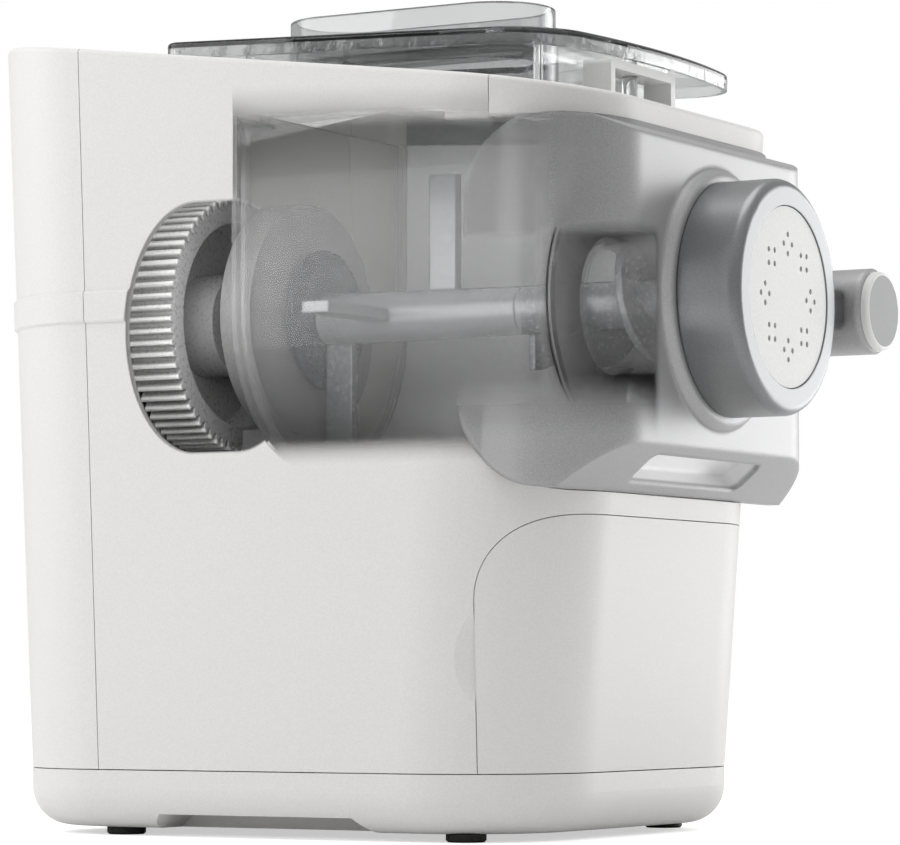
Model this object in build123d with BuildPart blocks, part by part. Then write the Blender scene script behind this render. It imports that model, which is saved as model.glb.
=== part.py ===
from build123d import *
import os
from math import acos, cos, pi, radians, sin, tan

# Electric pasta maker. Millimetres, +Z up, the front is -Y, and the origin is on
# the table under the middle of the machine. Every rotating part of the mixing
# drive turns about the line x = 0, z = axis_height.

os.makedirs("parts", exist_ok=True)

# ---------------------------------------------------------------- driving sizes
# Casing
body_width = 204.0
rear_top_y = 160.0          # rearmost point, at the top edge
rear_base_y = 145.5         # rear face at the base seam
front_base_y = -95.5        # front face at the base seam
front_lean = 0.0736         # forward lean of the front face, mm per mm of height
front_corner = 53.0
rear_corner = 52.0
base_seam = 25.0            # height of the seam between tray and casing
deck_front_height = 279.5   # top edge at deck_front_y
deck_front_y = -82.0
deck_slope = 0.127
top_edge_radius = 2.0
shell_wall = 2.8
seam_gap = 0.4
rear_seam_y = 89.5          # rear seam at the base seam
rear_seam_lean = 0.0417
belt_low = 195.9
belt_high = 208.2
belt_proud = 1.2
belt_chamfer = 0.9
front_seam_y = -79.0        # seam above the front panel
screw_x = 40.0
screw_heights = (75.0, 240.0)
screw_radius = 1.6
screw_head_radius = 3.5
screw_head_height = 1.6
screw_boss_radius = 4.0
screw_boss_length = 10.0
vent_height = 125.0
vent_count = 7
vent_pitch = 9.0
vent_length = 60.0
vent_width = 3.0
inlet_x = 30.0
inlet_height = 50.0
inlet_width = 28.0
inlet_tall = 20.0
inlet_corner = 3.0
inlet_rim = 1.5
inlet_rim_height = 1.5
inlet_depth = 16.0
inlet_wall = 2.0
inlet_pin_pitch = 7.0
inlet_pin_rise = 4.0
inlet_pin_width = 2.0
inlet_pin_tall = 5.0
scoop_radius = 17.5
scoop_depth = 1.8
scoop_height = 64.8
scoop_angle = 33.0          # degrees from the side, about the corner
overrun = 5.0               # how far a cutting shape runs past what it cuts

# Front frame
frame_inset = 4.5
frame_wall_thickness = 2.5
frame_floor_gap = 1.5
frame_floor = 3.0
frame_rear_y = -60.0
frame_mouth_radius = 56.0
band_roof_thickness = 2.5

# Deck and console
deck_drop = 0.6             # deck surface below the top edge
deck_thickness = 3.0
opening_gap = 3.0
console_y = 120.0
console_width = 92.0
console_depth = 40.0
console_corner = 4.0
console_thickness = 3.2
post_inset = 5.0
post_radius = 2.5
board_drop = 12.0
board_thickness = 1.6
lens_width = 36.0
lens_depth = 18.0
lens_corner = 2.0
lens_thickness = 1.2
button_radius = 4.2
button_gap = 0.3
button_rise = 1.4
button_round = 0.6
button_collar = 1.0
button_stem_radius = 1.5
button_stem_length = 6.0
button_places = {
    "power_button": (-36.0, -9.0),
    "program_button": (-36.0, 9.0),
    "weight_button": (36.0, 9.0),
    "timer_button": (36.0, -9.0),
    "start_button": (0.0, -15.0),
}
switch_size = 6.0
switch_height = 1.0
chip_pitch = 24.0
chip_width = 9.0
chip_depth = 9.0
chip_height = 1.5
lid_catch_rear_y = -80.0
lid_catch_front_y = -92.0
lid_catch_rise = 16.2       # top above the deck's edge at its front
lid_catch_width = 54.0
lid_catch_wall = 3.5
lid_catch_corner = 2.0
lid_key_y = -86.0
lid_key_radius = 3.0
lid_switch_width = 20.0
lid_switch_depth = 7.0
lid_switch_tall = 10.0

# Base tray
tray_bottom = 3.0
tray_wall = 3.0
tray_fillet = 15.0
foot_chamfer = 0.8
foot_radius = 7.5
foot_inset = 22.0           # from the casing's side
foot_rear_y = 91.5
foot_front_y = -59.0
grip_front_y = -21.0
grip_rear_y = 64.0
grip_height = 8.6
grip_depth = 28.0
grip_wall = 2.5
grip_slant = 9.0

# Mixing drive
axis_height = 202.75
chamber_radius = 57.0
chamber_wall = 2.5
chamber_rear_y = 55.0       # outer face of the rear wall
chamber_front_y = -76.0     # outer face of the front wall
chamber_corner = 8.0
rib_height = 4.0
rib_width = 2.0
rib_pitch = 4.2
liner_wall = 2.2
liner_front_y = -72.0
ledge_half_width = 28.0
ledge_rear_y = -61.0
ledge_drop = 25.5           # below the rim at the rear wall
ledge_cheek_height = 26.6
ledge_cheek = 1.6
seal_radius = 28.0
seal_thickness = 2.3
shaft_hole_gap = 0.8
rim_drop = 16.9             # chamber rim below the deck at the rear wall
rim_tilt = 3.15             # degrees, down towards the front
drive_module = 1.5
drive_teeth = 67
pinion_teeth = 16
idler_module = 1.0
idler_teeth = 60
motor_pinion_teeth = 12
drive_gear_front_y = 92.0
drive_gear_width = 21.0
idler_wheel_front_y = 115.0
idler_wheel_width = 6.0
gear_backlash = 0.3
root_depth = 1.25           # in modules
tip_height = 1.0            # in modules
gear_rim_bore = 41.3
gear_hub_radius = 20.7
gear_web = 4.0
gear_plate_y = 125.0
gear_plate_thickness = 3.0
plate_half_width = 45.0
shoulder_rise = 9.5         # above the idler
plate_head_radius = 24.0
pillar_x = 40.0
pillar_drops = (70.5, 5.5)  # below the idler
pillar_radius = 4.0
mount_thickness = 3.0
mount_head = 8.5            # above the idler
mount_corner = 8.0
housing_radius = 47.0
housing_front_y = 57.2
housing_rear_y = 71.0
housing_nose_y = 89.0
housing_wall = 3.5
housing_arm = 10.0
bush_radius = 12.0
bush_length = 26.0
idler_pin_radius = 4.0
pin_stand_out = 1.0
shaft_radius = 9.0
shaft_rear_y = 131.0
shaft_chamfer = 0.8
spindle_radius = 6.0
motor_radius = 30.0
motor_front_y = 20.0
motor_rear_y = 84.0
motor_wall = 1.8
motor_edge = 1.5
motor_nose_radius = 9.0
motor_shaft_radius = 3.0
motor_vent_pitch = 24.0
motor_vent_width = 8.0
armature_rear_y = 68.0
armature_front_y = 36.0
armature_radius = 21.0
armature_slots = 12
armature_slot = 5.0
armature_slot_width = 3.0
armature_gap = 1.0
magnet_gap = 6.0
commutator_rear_y = 76.0
commutator_radius = 9.0
motor_shaft_rear_y = 123.5
fan_rear_y = 17.0
fan_front_y = 9.0
fan_radius = 24.0
fan_hub_radius = 8.0
fan_blades = 8
fan_blade_thickness = 2.0
fan_blade_root = 1.0        # sunk in the hub

# Mixer
mixer_shaft_radius = 9.5
blade_reach = 55.3
blade_width = 12.0
blade_thickness = 4.5
blade_angles = (-90.0, 180.0, 90.0, 0.0)
blade_rows = (43.5, 22.0, -4.0, -26.0)
mixer_taper = 1.0
socket_depth = 25.0
auger_peg_radius = 5.0
auger_peg_length = 18.0
peg_end_gap = 1.0
auger_radius = 23.5
auger_rear_y = -40.0
auger_front_y = -140.0
auger_pitch = 29.0
flight_thickness = 3.0
flight_root = 1.0           # sunk in the core

# Front panel
panel_proud = 1.5
panel_wall = 2.4
panel_face_y = -124.0
panel_bottom = 129.0
band_height = 13.2          # from the panel's top to the deck's front edge
panel_rear_low_y = -66.0    # rear edge of the panel at its lower corner
panel_rear_high_y = -72.0   # and at its upper corner
panel_corner = 32.0
bulge_inset = 4.0           # from the casing's side
bulge_corner = 35.0
bulge_seat_y = -72.0
chin_height = 17.0
chin_depth = 20.0
crown_height = 4.5
crown_depth = 9.5
crown_margin = 1.8
chin_grip_length = 92.0
chin_grip_width = 15.0
chin_grip_depth = 8.0
chin_grip_corner = 4.0
boss_radius = 50.0
boss_depth = 4.0
boss_chamfer = 3.0
tube_bore = 24.2
tube_wall = 2.5
tube_flange_radius = 52.0
tube_flange = 3.0
gasket_thickness = 2.0
gasket_margin = 2.0
spigot_rear_y = -118.0
spigot_radius = 36.4
mouth_bore = 30.5
disc_radius = 34.2
disc_flange_radius = 36.0
disc_thickness = 2.0
disc_seat_depth = 5.0
hole_ring_radius = 20.0
hole_clusters = 8
hole_cluster_radius = 3.6
holes_per_cluster = 4
hole_radius = 1.1
groove_rear_y = -132.0
groove_width = 4.4
groove_radius = 34.6
lug_count = 3
lug_width = 18.0
ring_round = 4.0
ring_radius = 44.7
ring_front_y = -153.0
ring_lip_bore = 34.5
knob_inset = 30.0           # from the casing's side
knob_radius = 16.8
knob_rear_y = -126.0
knob_front_y = -160.0
knob_shank_radius = 6.0
knob_cap_thickness = 3.0
knob_cap_rim = 1.4
knob_round = 1.5
knob_grip_depth = 4.0
knob_grip_length = 18.0
knob_grip_width = 13.0
knob_grip_corner = 3.0
knob_seat_depth = 14.0
knob_seat_rim = 2.0
bolt_end_y = -92.0

# Lid
lid_inset = 20.0            # from the casing's side
lid_front_y = -103.0        # middle of the bowed front edge
lid_front_bow = 10.0
lid_rear_y = 76.5
lid_tilt = 2.1              # degrees, down towards the front
lid_rise = 6.6              # lower edge above the deck's edge at y = 0
lid_height = 6.5            # from the lower edge to the top of the plate
lid_thickness = 2.4
lid_rim_wall = 2.2
lid_rear_corner = 8.0
lid_front_corner = 28.0
lid_edge_round = 1.5
skirt_wall = 2.2
chute_length = 114.5
chute_width = 46.0
chute_centre_y = 6.7
chute_rise = 25.1           # level top above the lid's lower edge at y = 0
chute_drop = 6.5            # and its foot below it
chute_floor_rise = 8.5
chute_floor = 2.0
chute_round = 0.8
chute_wall = 2.4
pour_slot_length = 84.0
pour_slot_width = 20.0
pour_slot_y = 0.0

# Drawer
drawer_rear_y = -71.5
drawer_top = 120.0
drawer_corner = 32.0
drawer_tray_inset = 24.0    # from the casing's side
drawer_tray_rear_y = 4.0
drawer_tray_bottom = 33.0
drawer_tray_top = 108.0
drawer_tray_wall = 2.0
runner_width = 4.0
runner_ledge = 3.0
runner_front_y = -70.0
rack_half_width = 22.0
rack_front_y = -84.0
rack_height = 13.0
rack_slot_depth = 9.0
spare_disc_places = (-76.0, -61.0, -46.0)
spare_disc_thickness = 3.0

# Clearances
running_fit = 0.05          # a shaft in its bush, radial
slip_fit = 0.3              # parts that slide past or lift off each other
seat_gap = 0.2              # parts that rest on each other

# ---------------------------------------------------------------- derived sizes
half_width = body_width / 2
foot_x = half_width - foot_inset
knob_x = half_width - knob_inset
bulge_half_width = half_width - bulge_inset
lid_half_width = half_width - lid_inset
drawer_tray_half_width = half_width - drawer_tray_inset
gear_distance = drive_module * (drive_teeth + pinion_teeth) / 2
motor_distance = idler_module * (idler_teeth + motor_pinion_teeth) / 2
idler_height = axis_height - gear_distance
motor_height = idler_height - motor_distance
mount_top = idler_height + mount_head
plate_shoulder = idler_height + shoulder_rise
drive_gear_rear_y = drive_gear_front_y + drive_gear_width
idler_wheel_rear_y = idler_wheel_front_y + idler_wheel_width
gear_plate_rear_y = gear_plate_y + gear_plate_thickness
motor_mount_front_y = motor_rear_y + slip_fit
chamber_outer = chamber_radius + chamber_wall
rim_slope = tan(radians(rim_tilt))
lid_slope = tan(radians(lid_tilt))
panel_top = deck_front_height - band_height
tray_floor = tray_bottom + tray_wall


def deck_height(y):
    """Top edge of the casing at a distance from the middle."""
    return deck_front_height + deck_slope * (y - deck_front_y)


shell_top = deck_height(rear_top_y) + 2 * top_edge_radius
rim_rear_height = deck_height(chamber_rear_y) - rim_drop
ledge_height = rim_rear_height - ledge_drop
lid_underside = deck_height(0) + lid_rise
lid_plate_height = lid_underside + lid_height - lid_thickness
rear_lean = (rear_top_y - rear_base_y) / (deck_height(rear_top_y) - base_seam)


def front_y(height):
    """Front face of the casing at a height."""
    return front_base_y - front_lean * (height - base_seam)


def rear_y(height):
    """Rear face of the casing at a height."""
    return rear_base_y + rear_lean * (height - base_seam)


def rim_height(y):
    """Rim of the mixing chamber."""
    return rim_rear_height + rim_slope * (y - chamber_rear_y)


# ---------------------------------------------------------------- planes
def deck_plane(drop):
    """Sloping plane of the top edge, lowered by drop."""
    return Plane(origin=(0, 0, deck_height(0) - drop), x_dir=(1, 0, 0),
                 z_dir=(0, -deck_slope, 1))


def deck_spot(rise):
    """Plane parallel to the deck at the console's middle, raised by rise."""
    spot = Plane(origin=(0, console_y, deck_height(console_y) - deck_drop), x_dir=(1, 0, 0),
                 z_dir=(0, -deck_slope, 1))
    return spot.offset(rise)


def tilted_plane(height, slope):
    """Plane that slopes down to the front and passes y = 0 at height."""
    return Plane(origin=(0, 0, height), x_dir=(1, 0, 0), z_dir=(0, -slope, 1))


def behind(y):
    """Plane across the machine at y that faces the rear."""
    return Plane(origin=(0, y, 0), x_dir=(-1, 0, 0), z_dir=(0, 1, 0))


def facing_front(y):
    """Plane across the machine at y that faces the front; its y axis points up."""
    return Plane(origin=(0, y, 0), x_dir=(1, 0, 0), z_dir=(0, -1, 0))


def rear_face(x, height):
    """Plane on the leaning rear face at a place, facing backwards."""
    return Plane(origin=(x, rear_y(height), height), x_dir=(-1, 0, 0),
                 z_dir=(0, 1, -rear_lean))


rear_seam_plane = Plane(origin=(0, rear_seam_y, base_seam), x_dir=(1, 0, 0),
                        z_dir=(0, 1, -rear_seam_lean))


# ---------------------------------------------------------------- shared shapes
def finish(piece, name):
    """Label a finished piece and write its file."""
    piece.part.label = name
    export_step(piece.part, f"parts/{name}.step")


def slab(low_corner, high_corner):
    """Upright block between two opposite corners."""
    size = [high - low for low, high in zip(low_corner, high_corner)]
    centre = [(high + low) / 2 for low, high in zip(low_corner, high_corner)]
    with BuildPart() as block:
        with Locations(tuple(centre)):
            Box(*size)
    return block.part


def ring_between(rear, front, height, outer, inner=0.0):
    """Ring, or disc, about a line along the machine, from rear to front."""
    with BuildPart() as ring:
        with BuildSketch(facing_front(rear)):
            with Locations((0, height)):
                Circle(outer)
                if inner > 0:
                    Circle(inner, mode=Mode.SUBTRACT)
        extrude(amount=rear - front)
    return ring.part


def trough(radius, rear, front):
    """U-shaped block round the mixing axis, higher than the deck."""
    with BuildPart() as block:
        with BuildSketch(facing_front(rear)):
            with Locations((0, axis_height)):
                Circle(radius)
            with Locations((0, (axis_height + shell_top) / 2)):
                Rectangle(2 * radius, shell_top - axis_height)
        extrude(amount=rear - front)
    return block.part


def plan_outline(height, inset):
    """Rounded plan of the casing at a height, moved inwards by inset."""
    front = front_y(height) + inset
    rear = rear_y(height) - inset
    with BuildSketch(Plane.XY.offset(height)) as plan:
        with Locations((0, (front + rear) / 2)):
            Rectangle(body_width - 2 * inset, rear - front)
        fillet(plan.vertices().group_by(Axis.Y)[0], front_corner - inset)
        fillet(plan.vertices().group_by(Axis.Y)[-1], rear_corner - inset)
    return plan.sketch


def body_block(inset, low, high):
    """Solid of the leaning casing between two heights."""
    with BuildPart() as block:
        loft(sections=[plan_outline(low, inset), plan_outline(high, inset)], ruled=True)
    return block.part


def panel_window(grow):
    """Side outline of the front panel, grown by a gap, as a solid across the machine."""
    low = panel_bottom - grow
    high = panel_top + grow
    with BuildPart() as window:
        with BuildSketch(Plane.YZ) as side:
            with BuildLine():
                Polyline((-body_width, low), (panel_rear_low_y + grow, low),
                         (panel_rear_high_y + grow, high), (-body_width, high), close=True)
            make_face()
            fillet(side.vertices().sort_by(Axis.X)[2:4], panel_corner + grow)
        extrude(amount=body_width, both=True)
    return window.part


def drawer_window(grow):
    """Side outline of the drawer front, grown by a gap, as a solid across the machine."""
    rear = drawer_rear_y + grow
    top = drawer_top + grow
    with BuildPart() as window:
        with BuildSketch(Plane.YZ) as side:
            with BuildLine():
                Polyline((-body_width, 0), (rear, 0), (rear, top), (-body_width, top), close=True)
            make_face()
            fillet(side.vertices().sort_by(Axis.X)[2:4].sort_by(Axis.Y)[-1], drawer_corner + grow)
        extrude(amount=body_width, both=True)
    return window.part


# Raised belt round the sides and back
with BuildPart() as belt:
    add(body_block(-belt_proud, belt_low, belt_high))
    chamfer(belt.faces().sort_by(Axis.Z)[-1].edges(), belt_chamfer)
    chamfer(belt.faces().sort_by(Axis.Z)[0].edges(), belt_chamfer)

# Outer shell that the casing pieces are cut from: walls only, with the belt and
# a rounded top edge.
with BuildPart() as shell:
    add(body_block(0, base_seam + seam_gap, shell_top))
    split(bisect_by=deck_plane(0), keep=Keep.BOTTOM)
    fillet(shell.faces().sort_by(Axis.Z)[-1].edges(), top_edge_radius)
    add(belt.part)
    add(body_block(shell_wall, base_seam - overrun, shell_top + overrun), mode=Mode.SUBTRACT)
body_shell = shell.part

# ---------------------------------------------------------------- base tray
with BuildPart() as tray_block:
    extrude(plan_outline(base_seam, 0), amount=tray_bottom - base_seam)
    fillet(tray_block.faces().sort_by(Axis.Z)[0].edges(), tray_fillet)

with BuildPart() as tray_cavity:
    extrude(plan_outline(base_seam, tray_wall), amount=tray_bottom + tray_wall - base_seam)
    fillet(tray_cavity.faces().sort_by(Axis.Z)[0].edges(), tray_fillet - tray_wall)

grip_centre_y = (grip_front_y + grip_rear_y) / 2
grip_length = grip_rear_y - grip_front_y
grip_ceiling = grip_height + grip_wall

with BuildPart() as grip_pocket:
    with BuildSketch(Plane.YZ.offset(half_width - grip_depth)):
        with BuildLine():
            Polyline((grip_front_y - grip_slant, 0), (grip_rear_y + grip_slant, 0),
                     (grip_rear_y, grip_height), (grip_front_y, grip_height), close=True)
        make_face()
    extrude(amount=grip_depth + belt_proud)
    mirror(about=Plane.YZ)

with BuildPart() as base_tray:
    add(tray_block.part)
    add(tray_cavity.part, mode=Mode.SUBTRACT)
    with Locations((half_width - grip_depth / 2, grip_centre_y, grip_ceiling / 2),
                   (grip_depth / 2 - half_width, grip_centre_y, grip_ceiling / 2)):
        Box(grip_depth + 2 * grip_wall, grip_length + 2 * (grip_slant + grip_wall), grip_ceiling)
    add(tray_block.part, mode=Mode.INTERSECT)
    add(grip_pocket.part, mode=Mode.SUBTRACT)
finish(base_tray, "base_tray")

foot_places = [(side * foot_x, y) for side in (-1, 1) for y in (foot_front_y, foot_rear_y)]
with BuildPart() as rubber_feet:
    with BuildSketch():
        with Locations(*foot_places):
            Circle(foot_radius)
    extrude(amount=tray_bottom)
    chamfer(rubber_feet.faces().group_by(Axis.Z)[0].edges(), foot_chamfer)
finish(rubber_feet, "rubber_feet")

# ---------------------------------------------------------------- casing
# Side casing: both sides in one moulding, joined by the strip between the drawer
# and the front panel, with a shallow finger scoop at each side of the drawer.
scoop_normal = Vector(-cos(radians(scoop_angle)), -sin(radians(scoop_angle)), 0)
scoop_ball = (scoop_radius ** 2 + scoop_depth ** 2) / (2 * scoop_depth)
scoop_surface = Vector(front_corner - half_width, front_y(scoop_height) + front_corner,
                       scoop_height) + scoop_normal * front_corner

with BuildPart() as scoop:
    with Locations(scoop_surface + scoop_normal * (scoop_ball - scoop_depth)):
        Sphere(scoop_ball)
    mirror(about=Plane.YZ)

with BuildPart() as side_casing:
    add(body_shell)
    split(bisect_by=rear_seam_plane.offset(-seam_gap / 2), keep=Keep.BOTTOM)
    add(panel_window(seam_gap), mode=Mode.SUBTRACT)
    add(drawer_window(seam_gap), mode=Mode.SUBTRACT)
    add(slab((-half_width, -half_width * 2, panel_top - panel_corner),
             (half_width, front_seam_y + seam_gap / 2, shell_top)), mode=Mode.SUBTRACT)
    add(scoop.part, mode=Mode.SUBTRACT)
finish(side_casing, "side_casing")

# Rear cover: closes the back, with the vent slots, the inlet cut-out and four
# screw bosses.
screw_places = [(x, height) for x in (-screw_x, screw_x) for height in screw_heights]

with BuildPart() as rear_cover:
    add(body_shell)
    split(bisect_by=rear_seam_plane.offset(seam_gap / 2), keep=Keep.TOP)
    for x, height in screw_places:
        with BuildSketch(rear_face(x, height).offset(-shell_wall / 2)):
            Circle(screw_boss_radius)
        extrude(amount=-screw_boss_length)
    for x, height in screw_places:
        with BuildSketch(rear_face(x, height).offset(overrun)):
            Circle(screw_radius + running_fit)
        extrude(amount=-screw_boss_length - shell_wall - 2 * overrun, mode=Mode.SUBTRACT)
    with BuildSketch(rear_face(0, vent_height).offset(shell_wall)):
        with GridLocations(0, vent_pitch, 1, vent_count):
            SlotOverall(vent_length, vent_width)
    extrude(amount=-3 * shell_wall, mode=Mode.SUBTRACT)
    with BuildSketch(rear_face(inlet_x, inlet_height).offset(shell_wall)):
        RectangleRounded(inlet_width + 2 * seat_gap, inlet_tall + 2 * seat_gap, inlet_corner)
    extrude(amount=-3 * shell_wall, mode=Mode.SUBTRACT)
finish(rear_cover, "rear_cover")

with BuildPart() as casing_screws:
    for x, height in screw_places:
        with BuildSketch(rear_face(x, height).offset(seat_gap)):
            Circle(screw_head_radius)
        extrude(amount=screw_head_height)
        with BuildSketch(rear_face(x, height).offset(seat_gap)):
            Circle(screw_radius)
        extrude(amount=-screw_boss_length)
finish(casing_screws, "casing_screws")

# Power inlet: three-pin appliance inlet, pushed in from the back.
with BuildPart() as power_inlet:
    with BuildSketch(rear_face(inlet_x, inlet_height).offset(seat_gap)):
        RectangleRounded(inlet_width + 2 * inlet_rim, inlet_tall + 2 * inlet_rim,
                         inlet_corner + inlet_rim)
    extrude(amount=inlet_rim_height)
    with BuildSketch(rear_face(inlet_x, inlet_height).offset(seat_gap)):
        RectangleRounded(inlet_width, inlet_tall, inlet_corner)
    extrude(amount=-inlet_depth)
    with BuildSketch(rear_face(inlet_x, inlet_height).offset(seat_gap + inlet_rim_height)):
        RectangleRounded(inlet_width - 2 * inlet_wall, inlet_tall - 2 * inlet_wall,
                         inlet_corner - inlet_wall / 2)
    extrude(amount=inlet_wall - inlet_depth, mode=Mode.SUBTRACT)
    with BuildSketch(rear_face(inlet_x, inlet_height).offset(seat_gap + inlet_wall - inlet_depth)):
        with Locations((-inlet_pin_pitch, 0), (0, inlet_pin_rise), (inlet_pin_pitch, 0)):
            Rectangle(inlet_pin_width, inlet_pin_tall)
    extrude(amount=inlet_depth - 2 * inlet_wall)
finish(power_inlet, "power_inlet")

# Front frame: the recessed wall behind the front panel, with the white band
# above the panel. The chamber's mouth and the lock bolt pass through its wall.
frame_low = drawer_top + frame_floor_gap
frame_roof = panel_top + seam_gap

with BuildPart() as frame_wall:
    add(body_block(frame_inset, frame_low, shell_top))
    split(bisect_by=deck_plane(deck_drop + deck_thickness + seat_gap), keep=Keep.BOTTOM)
    add(body_block(frame_inset + frame_wall_thickness, frame_low + frame_floor, shell_top),
        mode=Mode.SUBTRACT)
    split(bisect_by=behind(frame_rear_y), keep=Keep.BOTTOM)

with BuildPart() as front_band:
    add(body_shell)
    add(panel_window(seam_gap), mode=Mode.SUBTRACT)
    split(bisect_by=behind(front_seam_y - seam_gap / 2), keep=Keep.BOTTOM)
    split(bisect_by=Plane.XY.offset(panel_top - panel_corner - seam_gap), keep=Keep.TOP)

with BuildPart() as band_roof:
    add(body_block(shell_wall / 2, frame_roof, frame_roof + band_roof_thickness))
    split(bisect_by=behind(front_seam_y - seam_gap / 2), keep=Keep.BOTTOM)
    add(slab((-chamber_outer - opening_gap, lid_catch_front_y + slip_fit, panel_top),
             (chamber_outer + opening_gap, 0, shell_top)), mode=Mode.SUBTRACT)

with BuildPart() as front_frame:
    add(frame_wall.part)
    add(front_band.part)
    add(band_roof.part)
    with BuildSketch(facing_front(chamber_front_y)):
        with Locations((0, axis_height)):
            Circle(frame_mouth_radius)
        with Locations((knob_x, axis_height)):
            Circle(knob_shank_radius + slip_fit)
    extrude(amount=-2 * panel_face_y, mode=Mode.SUBTRACT)
finish(front_frame, "front_frame")

# ---------------------------------------------------------------- top deck
# Deck: the sloping top plate, with the opening that the mixing chamber shows
# through and the cut-out of the control panel.
opening_front_y = chamber_front_y - opening_gap
opening_rear_y = chamber_rear_y + opening_gap
opening_centre_y = (opening_front_y + opening_rear_y) / 2

with BuildPart() as top_deck:
    add(body_block(shell_wall + seat_gap, panel_top, shell_top))
    split(bisect_by=deck_plane(deck_drop), keep=Keep.BOTTOM)
    split(bisect_by=deck_plane(deck_drop + deck_thickness), keep=Keep.TOP)
    with BuildSketch(Plane.XY.offset(panel_top - panel_corner)):
        with Locations((0, opening_centre_y)):
            RectangleRounded(2 * (chamber_outer + opening_gap), opening_rear_y - opening_front_y,
                             chamber_corner + opening_gap)
    extrude(amount=shell_top, mode=Mode.SUBTRACT)
    with BuildSketch(deck_spot(0)):
        RectangleRounded(console_width + 2 * seat_gap, console_depth + 2 * seat_gap, console_corner)
    extrude(amount=2 * deck_thickness, both=True, mode=Mode.SUBTRACT)
    with BuildSketch(Plane.XY.offset(panel_top)):
        with Locations((0, lid_key_y)):
            Circle(lid_key_radius + slip_fit)
    extrude(amount=shell_top - panel_top, mode=Mode.SUBTRACT)
finish(top_deck, "top_deck")

# Console: the control panel let into the rear of the deck, on four posts that
# carry the circuit board.
with BuildPart() as control_panel:
    with BuildSketch(deck_spot(0)):
        RectangleRounded(console_width, console_depth, console_corner)
    extrude(amount=-console_thickness)
    with BuildSketch(deck_spot(-console_thickness)):
        with GridLocations(console_width - 2 * post_inset, console_depth - 2 * post_inset, 2, 2):
            Circle(post_radius)
    extrude(amount=console_thickness - board_drop + seat_gap)
    with BuildSketch(deck_spot(0)):
        RectangleRounded(lens_width + 2 * seat_gap, lens_depth + 2 * seat_gap, lens_corner)
    extrude(amount=-lens_thickness - seat_gap, mode=Mode.SUBTRACT)
    with BuildSketch(deck_spot(0)):
        with Locations(*button_places.values()):
            Circle(button_radius + button_gap)
    extrude(amount=-console_thickness, mode=Mode.SUBTRACT)
finish(control_panel, "control_panel")

with BuildPart() as display_lens:
    with BuildSketch(deck_spot(-lens_thickness)):
        RectangleRounded(lens_width, lens_depth, lens_corner)
    extrude(amount=lens_thickness)
finish(display_lens, "display_lens")


def push_button(place):
    """Button cap with a collar under the console and a stem down to its switch."""
    with BuildPart() as button:
        with BuildSketch(deck_spot(-console_thickness - seat_gap)):
            with Locations(place):
                Circle(button_radius)
        extrude(amount=console_thickness + seat_gap + button_rise)
        fillet(button.faces().sort_by(Axis.Z)[-1].edges(), button_round)
        with BuildSketch(deck_spot(-console_thickness - seat_gap)):
            with Locations(place):
                Circle(button_radius + button_collar)
        extrude(amount=-button_collar)
        with BuildSketch(deck_spot(-console_thickness - seat_gap)):
            with Locations(place):
                Circle(button_stem_radius)
        extrude(amount=-button_stem_length)
    return button


for button_name, button_place in button_places.items():
    finish(push_button(button_place), button_name)

with BuildPart() as circuit_board:
    with BuildSketch(deck_spot(-board_drop - board_thickness)):
        Rectangle(console_width - post_inset, console_depth - post_inset / 2)
    extrude(amount=board_thickness)
    with BuildSketch(deck_spot(-board_drop)):
        with Locations(*button_places.values()):
            Rectangle(switch_size, switch_size)
    extrude(amount=switch_height)
    with BuildSketch(deck_spot(-board_drop - board_thickness)):
        with GridLocations(chip_pitch, 0, 3, 1):
            Rectangle(chip_width, chip_depth)
    extrude(amount=-chip_height)
finish(circuit_board, "circuit_board")

# Lid catch: a white bridge on the front of the deck that the lid's key passes
# through to the switch below.
lid_catch_top = deck_height(lid_catch_front_y) + lid_catch_rise
lid_catch_foot = deck_height(lid_catch_front_y) - deck_thickness
lid_catch_height = lid_catch_top - lid_catch_foot
with BuildPart() as lid_catch:
    with BuildSketch(facing_front(lid_catch_rear_y)):
        with Locations((0, lid_catch_foot + lid_catch_height / 2)):
            Rectangle(lid_catch_width, lid_catch_height)
        with Locations((0, lid_catch_foot + (lid_catch_height - lid_catch_wall) / 2)):
            Rectangle(lid_catch_width - 2 * lid_catch_wall, lid_catch_height - lid_catch_wall,
                      mode=Mode.SUBTRACT)
    extrude(amount=lid_catch_rear_y - lid_catch_front_y)
    fillet(lid_catch.edges().filter_by(Axis.Y).group_by(Axis.Z)[-1], lid_catch_corner)
    split(bisect_by=deck_plane(deck_drop - seat_gap), keep=Keep.TOP)
    with BuildSketch(Plane.XY.offset(lid_catch_foot)):
        with Locations((0, lid_key_y)):
            Circle(lid_key_radius + slip_fit)
    extrude(amount=lid_catch_top, mode=Mode.SUBTRACT)
finish(lid_catch, "lid_catch")

# Lid switch: the safety switch that hangs under the deck below the catch.
deck_underside = deck_drop + deck_thickness
switch_top = deck_height(lid_key_y) - deck_underside
with BuildPart() as lid_switch:
    add(slab((-lid_switch_width / 2, lid_key_y - lid_switch_depth / 2, switch_top - lid_switch_tall),
             (lid_switch_width / 2, lid_key_y + lid_switch_depth / 2, switch_top + overrun)))
    split(bisect_by=deck_plane(deck_underside + seat_gap), keep=Keep.BOTTOM)
finish(lid_switch, "lid_switch")

# ---------------------------------------------------------------- mixing chamber
liner_rear_y = chamber_rear_y - rib_pitch - rib_width - slip_fit

# Well liner: the grey trough in the machine that the chamber stands in.
with BuildPart() as well_liner:
    add(trough(chamber_outer + slip_fit + liner_wall, liner_rear_y, liner_front_y))
    add(trough(chamber_outer + slip_fit, liner_rear_y + overrun, liner_front_y - overrun),
        mode=Mode.SUBTRACT)
    split(bisect_by=deck_plane(deck_drop + deck_thickness + seat_gap), keep=Keep.BOTTOM)
finish(well_liner, "well_liner")

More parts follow.
